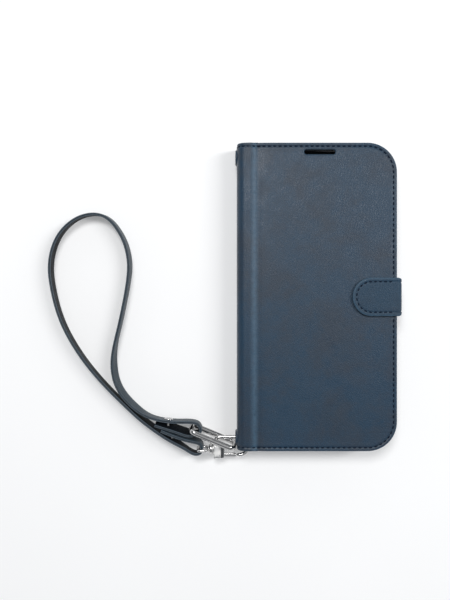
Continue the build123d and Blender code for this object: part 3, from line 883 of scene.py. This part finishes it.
def spine_path(s):
    """The outside of the case: flat over the front, and round the spine to the back crease."""
    run = CREASE - s
    flat = CREASE - SPINE - SPINE_RADIUS
    arc = SPINE_RADIUS * pi / 2
    straight = TOP - 2 * SPINE_RADIUS
    first = np.clip((run - flat) / SPINE_RADIUS, 0, pi / 2)
    second = np.clip((run - flat - arc - straight) / SPINE_RADIUS, 0, pi / 2)
    x = CREASE - np.minimum(run, flat) - SPINE_RADIUS * (np.sin(first) + np.cos(second) - 1)
    x += np.maximum(run - flat - 2 * arc - straight, 0)
    z = TOP - SPINE_RADIUS * (1 - np.cos(first) + np.sin(second)) - np.clip(run - flat - arc, 0, straight)
    return x, z, -np.sin(first) * np.cos(second), np.cos(first) - np.sin(second)


SPINE_RUN = 2 * (CREASE - SPINE - SPINE_RADIUS) + pi * SPINE_RADIUS + TOP - 2 * SPINE_RADIUS
RINGS = [0.0, 0.07, 0.18, 0.34, 0.55, 0.85, 1.25, 1.5, 1.75, 2.0, 2.25, 2.5, 2.8, 3.3, 4.2, 5.6, 8.0, 11.5, CORNER]


def seam_profile(d):
    """Height of a stitched cover near its edge: rounded over, then pulled in by the thread."""
    drop = round_over(d, 0.85) + 0.26 * bell(d, STITCH_INSET, 0.46)
    swell = 0.06 * bell(d, 1.15, 0.4) + 0.07 * bell(d, 3.3, 0.9)
    return swell - drop


def crease_profile(s):
    """The spine swells a little and slopes down to a soft fold line; the panel rises again beyond it."""
    width = np.where(s < CREASE, 1.7, 2.6)
    swell = 0.42 * bell(s, CREASE - 3.6, 2.6)
    return swell - 0.50 * bell(s, CREASE, width)


def front_upper(s, t, d):
    return seam_profile(d) + crease_profile(s)


def rim_lower(d, share):
    """The leather turns in under the board at the rim, where share is one, and is thin elsewhere."""
    rim = (1 - smooth_step(d, 0.45, 0.7)) * share
    return -(LEATHER + (BOARD - 0.05) * rim) + 0.25 * round_over(d, 0.5)


def front_lower(s, t, d):
    return rim_lower(d, smooth_step(s, CREASE + 0.4, CREASE + 1.0))


def back_upper(s, t, d):
    return seam_profile(d) * 0.8


def back_lower(s, t, d):
    """With a gap in the turned rim where the clasp strap goes in."""
    return rim_lower(d, np.abs(t) > TAB_GAP)


def columns(start, end, fine_from, fine_to, fine, coarse):
    """Positions along s, close together between fine_from and fine_to."""
    xs, x = [], start
    while x < end:
        xs.append(x)
        x += fine if fine_from <= x < fine_to else coarse
    return xs


def slot_places():
    """Middle of each strap slot along the case and up from the floor."""
    return [tuple((span(node)[0][1:] + span(node)[1][1:]) / 2) for node in ("spine_patch_top", "spine_patch_bottom")]


def slot_cutter(y, z):
    """A pill along X through the side of the spine."""
    outline = stadium(*SLOT, SLOT[0] / 2 - 0.01)
    verts = [(x, y + a, z + b) for x in (SPINE - 4.0, SPINE + 3.0) for a, b in outline]
    return new_object("cutter", verts, ring_faces(2, len(outline)), [COVER])


def front_piece():
    """Front cover and spine as one sheet of leather, with a paler band along the fold between them: a painted
    highlight.
    """
    start = CREASE - SPINE_RUN
    xs = columns(start, EDGE, start, CREASE + 3.0, 0.45, 2.6)
    plan, faces = flat_grid(start, EDGE, HALF, CORNER, RINGS, xs, 2.6, 20)
    piece = shell("cover_leather", plan, faces, spine_path, front_upper, front_lower, [COVER] * 3)
    # Along the fold the depth drops below zero, which paints a highlight there; elsewhere it stays the distance from
    # the edge, which drives the edge wear.
    wear_and_fold_highlight = np.minimum(plan[:, 2], -0.3 + 0.42 * np.abs(plan[:, 0] - (CREASE - 1.4)))
    piece.data.attributes["depth"].data.foreach_set("value", np.tile(wear_and_fold_highlight, 2).astype(np.float32))
    levels = [(TOP - 4.0, -0.12), (TOP - 0.45, -0.12), (TOP - 0.22, -0.02), (TOP - 0.06, 0.14), (TOP + 0.3, 0.75)]
    return cut_all(piece, [flared_cutter(levels, **EARPIECE)] + [slot_cutter(y, z) for y, z in slot_places()])


def back_piece():
    xs = columns(CREASE, EDGE, CREASE, CREASE + 2, 1.0, 3.2)
    plan, faces = flat_grid(CREASE, EDGE, HALF, CORNER, RINGS, xs, 3.2, 20)
    piece = shell("back_cover_leather", plan, faces, flat_path(0.0, -1), back_upper, back_lower, [COVER] * 3)
    levels = [(-1.0, 0.6), (0.02, 0.3), (0.2, 0.08), (0.5, 0.0), (4.0, 0.0)]
    return cut_all(piece, [flared_cutter(levels, **CAMERA_WINDOW)])


# ---- linings and pockets ----
def level_at(height):
    """A surface, or the middle of a thread, at one height everywhere."""
    return lambda s, t, d=None: np.full_like(s, height)


def lining_upper(s, t, d):
    return -round_over(d, 0.3)


def sheet_piece(name, node, facing, cutter):
    """A lining on a panel: the node's own outline with a soft free face."""
    low, high = span(node)
    level, thick = (high[2] if facing > 0 else low[2]), high[2] - low[2]
    plan, faces = flat_grid(low[0], EDGE, HALF, CORNER, [0.0, 0.1, 0.3, 0.8, 2.0, 6.0, CORNER],
                            columns(low[0], EDGE, 0, 0, 6.0, 6.0), 8.0, 16)
    piece = shell(name, plan, faces, flat_path(level, facing), lining_upper, level_at(-thick), [LINING] * 3)
    return cut_all(piece, [cutter])


def rectangle_grid(ss, ts):
    """A plan of straight rows and columns with no stitched edge."""
    plan = np.array([(s, t, FAR_FROM_RIMS_AND_FOLD) for s in ss for t in ts])
    return plan, [face[::-1] for face in quads(len(ss), len(ts))]


def spine_lining_piece():
    outside, inside = -0.95, -1.4
    ss = np.linspace(CREASE - SPINE_RUN, CREASE, 60)
    plan, faces = rectangle_grid(ss, np.linspace(-HALF, HALF, 30))
    piece = shell("spine_lining_fabric", plan, faces, spine_path, level_at(outside), level_at(inside), [LINING] * 3)
    for y, z in slot_places():
        cut(piece, slot_cutter(y, z))
    return piece


POCKETS = ("cash_pocket", "card_pocket_1", "card_pocket_2", "card_pocket_3")
POCKET_CORNER = CORNER - 2.4
POCKET_SEAM = 1.3
POCKET_STEP = 0.45


def pocket_outline(left, right, bottom, top, corner, d):
    """A pocket's outline inset by d, with one round corner at the lower right."""
    radius = corner - d
    points = [(left + d, top - d), (left + d, bottom + d)]
    points += arc_points(right - corner, bottom + corner, radius, np.linspace(-pi / 2, 0, 13))
    return points + [(right - d, top - d)]


def pocket_piece(node):
    """One pocket leather with rolled edges and a creased line inside them, facing the phone."""
    low, high = span(node)
    profile = [(0.0, 0.20), (0.05, 0.10), (0.15, 0.03), (0.35, 0.0), (1.0, 0.0), (1.3, 0.06), (1.6, 0.0), (3.0, 0.0)]
    verts = []
    rings = [(0.0, high[2])] + [(d, low[2] + lift) for d, lift in profile]
    for d, z in rings:
        ring = pocket_outline(low[0], high[0], low[1], high[1], POCKET_CORNER, d)
        verts += [(x, y, z) for x, y in ring]
    uvs = [(v[0] / 100, v[1] / 100 + 0.3 * high[2]) for v in verts]
    faces = ring_faces(len(rings), len(ring))
    return new_object(f"{node}_leather", verts, faces, [POCKET], None, uvs, FAR_FROM_RIMS_AND_FOLD)


# ---- spine patches ----
def patch_piece(name, y, z):
    """Raised leather round a strap slot, with rolled edges, following the spine."""
    middle = CREASE - (CREASE - SPINE - SPINE_RADIUS) - SPINE_RADIUS * pi / 2 - (TOP - SPINE_RADIUS - z)
    profile = [(0.0, -0.1), (0.0, 0.5), (0.04, 0.72), (0.14, 0.86), (0.35, 0.90), (0.72, 0.88), (0.86, 0.76),
               (0.95, 0.5), (1.0, 0.2), (1.0, -0.1)]
    verts, uvs = [], []
    for grow, height in profile:
        width, length = SLOT[0] + 4.6 * grow, SLOT[1] + 3.8 * grow
        ring = stadium(width, length, width / 2 - 0.01)
        s = np.array([middle + b for a, b in ring])
        px, pz, nx, nz = spine_path(s)
        for k, (a, b) in enumerate(ring):
            verts.append((px[k] + nx[k] * height, y + a, pz[k] + nz[k] * height))
            uvs.append((s[k] / 100 + 0.7, (y + a) / 100))
    count, rows = len(ring), len(profile)
    faces = []
    for row in range(rows):
        here, there = row * count, (row + 1) % rows * count
        for k in range(count):
            faces.append((here + k, here + (k + 1) % count, there + (k + 1) % count, there + k))
    return new_object(name, verts, faces, [COVER], None, uvs, FAR_FROM_RIMS_AND_FOLD)


# ---- clasp strap ----
TAB_HALF = 10.45
TAB_CORNER = 10.4
TAB_SEAM = 2.2
TAB_RINGS = [0.0, 0.05, 0.14, 0.3, 0.55, 0.9, 1.3, 1.6, 1.9, 2.2, 2.5, 2.8, 3.2]
SIDE_SCALE = 0.94
STRAP_HALF = 0.9
MIDDLE_Z = 9.7
SIDE_X = (SIDE_LOW[0] + SIDE_HIGH[0]) / 2 - 0.45
TAB_Z = TAB_HIGH[2] - STRAP_HALF
BEND = 1.7
BEND_X = SIDE_X - BEND
RISE = TAB_Z - BEND - MIDDLE_Z
TAB_RUN = RISE + BEND * pi / 2 + BEND_X - TAB_LOW[0]


def tab_path(s):
    """Middle of the strap from half way up the side, over the edge, to the tab's tip."""
    turn = np.clip((s - RISE) / BEND, 0, pi / 2)
    top = np.maximum(s - RISE - BEND * pi / 2, 0)
    x = BEND_X + BEND * np.cos(turn) - top
    z = MIDDLE_Z + np.minimum(s, RISE) + BEND * np.sin(turn)
    return x, z, np.cos(turn), np.sin(turn)


FOLD = 1.6
TONGUE_Z = 1.4
TONGUE_X = EDGE - 12.0
TONGUE_RUN = SIDE_X - FOLD - TONGUE_X


def side_path(s):
    """Middle of the strap from its sewn end under the lining, round the edge, and up the side."""
    turn = np.clip((s - TONGUE_RUN) / FOLD, 0, pi / 2)
    x = TONGUE_X + np.minimum(s, TONGUE_RUN) + FOLD * np.sin(turn)
    z = TONGUE_Z + FOLD * (1 - np.cos(turn)) + np.maximum(s - TONGUE_RUN - FOLD * pi / 2, 0)
    return x, z, np.sin(turn), -np.cos(turn)


def tab_upper(s, t, d):
    return STRAP_HALF - round_over(d, 0.55) - 0.20 * bell(d, TAB_SEAM, 0.42) + 0.05 * bell(d, 1.3, 0.45)


def tab_lower(s, t, d):
    return -STRAP_HALF + round_over(d, 0.3)


def tab_piece():
    rings = TAB_RINGS + [4.0, 5.5, 7.8, TAB_CORNER]
    xs = columns(0.0, TAB_RUN, 5.5, 13.0, 0.3, 1.2)
    plan, faces = flat_grid(0.0, TAB_RUN, TAB_HALF, TAB_CORNER, rings, xs, 1.0, 24)
    plan[:, 1] *= SIDE_SCALE + (1 - SIDE_SCALE) * smooth_step(plan[:, 0], RISE, RISE + 2.4)
    return shell("clasp_tab_leathers", plan, faces, tab_path, tab_upper, tab_lower, [TAB_LEATHER, LINING, EDGE_PAINT])


def side_piece():
    run = TONGUE_RUN + FOLD * pi / 2 + MIDDLE_Z - TONGUE_Z - FOLD
    insets = TAB_RINGS + [5.0, 8.0]
    half = TAB_HALF * SIDE_SCALE
    ts = [-half + d for d in insets] + [half - d for d in insets[::-1]]
    ss = columns(0.0, run, TONGUE_RUN - 1, TONGUE_RUN + 4, 0.25, 1.0) + [run]
    plan, faces = rectangle_grid(ss, ts)
    plan[:, 2] = half - np.abs(plan[:, 1])

    def thickness(s):
        return (0.5 + 0.4 * smooth_step(s, TONGUE_RUN, TONGUE_RUN + 2.0)) / STRAP_HALF

    return shell("clasp_side_leathers", plan, faces, side_path, lambda s, t, d: tab_upper(s, t, d) * thickness(s),
                 lambda s, t, d: tab_lower(s, t, d) * thickness(s), [TAB_LEATHER, LINING, EDGE_PAINT])


# ---- stitching ----
def seam_line(start, end, half, corner, inset):
    """The sewn line of a panel in its plan, from its upper to its lower end."""
    radius = corner - inset
    upper = [(start, half - inset)] + arc_points(end - corner, half - corner, radius, np.linspace(pi / 2, 0, 25))
    return np.array(upper + [(s, -t) for s, t in upper[::-1]])


def sew(name, line, path, height, pitch, dash, keep=None):
    """Separate stitches of round thread that dive into the leather at both ends."""
    runs = distances(line)
    count = int(round(runs[-1] / pitch))
    middles = (np.arange(count) + 0.5) * runs[-1] / count

    def at(run):
        s, t = np.interp(run, runs, line[:, 0]), np.interp(run, runs, line[:, 1])
        px, pz, nx, nz = path(s)
        lift = height(s, t)
        return np.column_stack([px + nx * lift, t, pz + nz * lift]), np.column_stack([nx, 0 * nx, nz]), s, t

    _, _, s, t = at(middles)
    if keep is not None:
        middles = middles[keep(s, t)]
    verts, faces = [], []
    sides, rows = 8, 9
    for middle in middles:
        start = len(verts)
        along = np.linspace(-1, 1, rows)
        centres, ups, _, _ = at(middle + along * dash / 2)
        centres = centres - ups * (0.30 * np.abs(along) ** 3)[:, None]
        tangents = unit(np.gradient(centres, axis=0))
        across = unit(np.cross(tangents, ups))
        other = np.cross(across, tangents)
        for row in range(rows):
            size = THREAD_RADIUS * sqrt(1 - 0.75 * abs(along[row]) ** 4)
            verts += circle(centres[row], size * across[row], size * other[row], sides)
        faces += ring_faces(rows, sides, start)
    return new_object(name, verts, faces, [THREAD], sharp=60)


# ---- the soft pieces, each on its body where it is given one ----
cover = place(front_piece(), "navy_leather", None, "front_leather", "spine_leather")
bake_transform(cover)
place(back_piece(), "navy_leather", "case", "back_leather")
lining_z = span("front_lining")[0][2]
place(sheet_piece("front_cover_lining", "front_lining", -1,
                  flared_cutter([(lining_z - 1, 0.0), (TOP, 0.0)], **EARPIECE)),
      "navy_lining", "front_cover", "front_lining")
place(sheet_piece("back_cover_lining", "back_lining", 1, flared_cutter([(-1.0, 0.0), (4.0, 0.0)], **CAMERA_WINDOW)),
      "navy_lining", "case", "back_lining")
place(spine_lining_piece(), "navy_lining", "case", "spine_lining")
for node in POCKETS:
    place(pocket_piece(node), "pocket_leather", "front_cover", node)
for node, (y, z) in zip(("spine_patch_top", "spine_patch_bottom"), slot_places()):
    place(patch_piece(f"{node}_leather", y, z), "navy_leather", "case", node)

tab = place(tab_piece(), "navy_leather", None, "clasp_tab_leather", "clasp_tab_lining")
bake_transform(tab)
side = place(side_piece(), "navy_leather", None, "clasp_side_leather", "clasp_side_lining", "clasp_tongue")
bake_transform(side)


def pocket_level(s, t):
    """Height above the lining of the topmost pocket leather."""
    return sum(POCKET_STEP * (t < span(node)[1][1]) for node in POCKETS) - 0.08


def pocket_seam():
    """The line that holds all pockets, down their right side and along the bottom."""
    low, high = span("cash_pocket")
    right, bottom = high[0] - POCKET_SEAM, low[1] + POCKET_SEAM
    radius = POCKET_CORNER - POCKET_SEAM
    corner = arc_points(right - radius, bottom + radius, radius, np.linspace(0, -pi / 2, 16))
    return np.array([(right, high[1] - POCKET_SEAM)] + corner + [(low[0] + POCKET_SEAM, bottom)])


STITCH = (STITCH_PITCH, STITCH_LENGTH)
SUNK = level_at(-STITCH_SINK)
SEAM_SPLIT = CREASE - 2.0
front_seam = seam_line(CREASE - SPINE_RUN, EDGE, HALF, CORNER, STITCH_INSET)
stitching = place(sew("front_stitches", front_seam, spine_path, SUNK, *STITCH, lambda s, t: s > SEAM_SPLIT),
                  "thread", None, "front_stitching")
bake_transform(stitching)
place(sew("spine_stitches", front_seam, spine_path, SUNK, *STITCH, lambda s, t: s <= SEAM_SPLIT),
      "thread", "case", "spine_stitching")
back_seam = seam_line(CREASE, EDGE, HALF, CORNER, STITCH_INSET)
place(sew("back_stitches", back_seam, flat_path(0.0, -1), SUNK, *STITCH), "thread", "case", "back_stitching")
tab_seam = seam_line(RISE + BEND * pi / 2 + 2.6, TAB_RUN, TAB_HALF, TAB_CORNER, TAB_SEAM)
place(sew("tab_stitches", tab_seam, tab_path, level_at(STRAP_HALF - STITCH_SINK), 2.7, 1.55),
      "thread", "clasp_tab", "clasp_tab_stitching")
place(sew("pocket_stitches", pocket_seam(), flat_path(lining_z, -1), pocket_level, *STITCH), "thread", "front_cover")


# ---- finishes of the CAD nodes that stay ----
FINISHES = {
    NICKEL: ("gate_pin",),
    SPRING: ("gate_spring",),
    MAGNET: ("front_magnet", "clasp_magnet"),
    FIBRE: ("front_board", "back_board"),
    TRAY: ("phone_tray",),
    KEY: ("power_key", "volume_up_key", "volume_down_key", "action_key"),
}
for material, nodes in FINISHES.items():
    for node in nodes:
        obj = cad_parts[node]
        if not obj.material_slots:
            obj.data.materials.append(material)
        for slot in obj.material_slots:
            slot.material = material
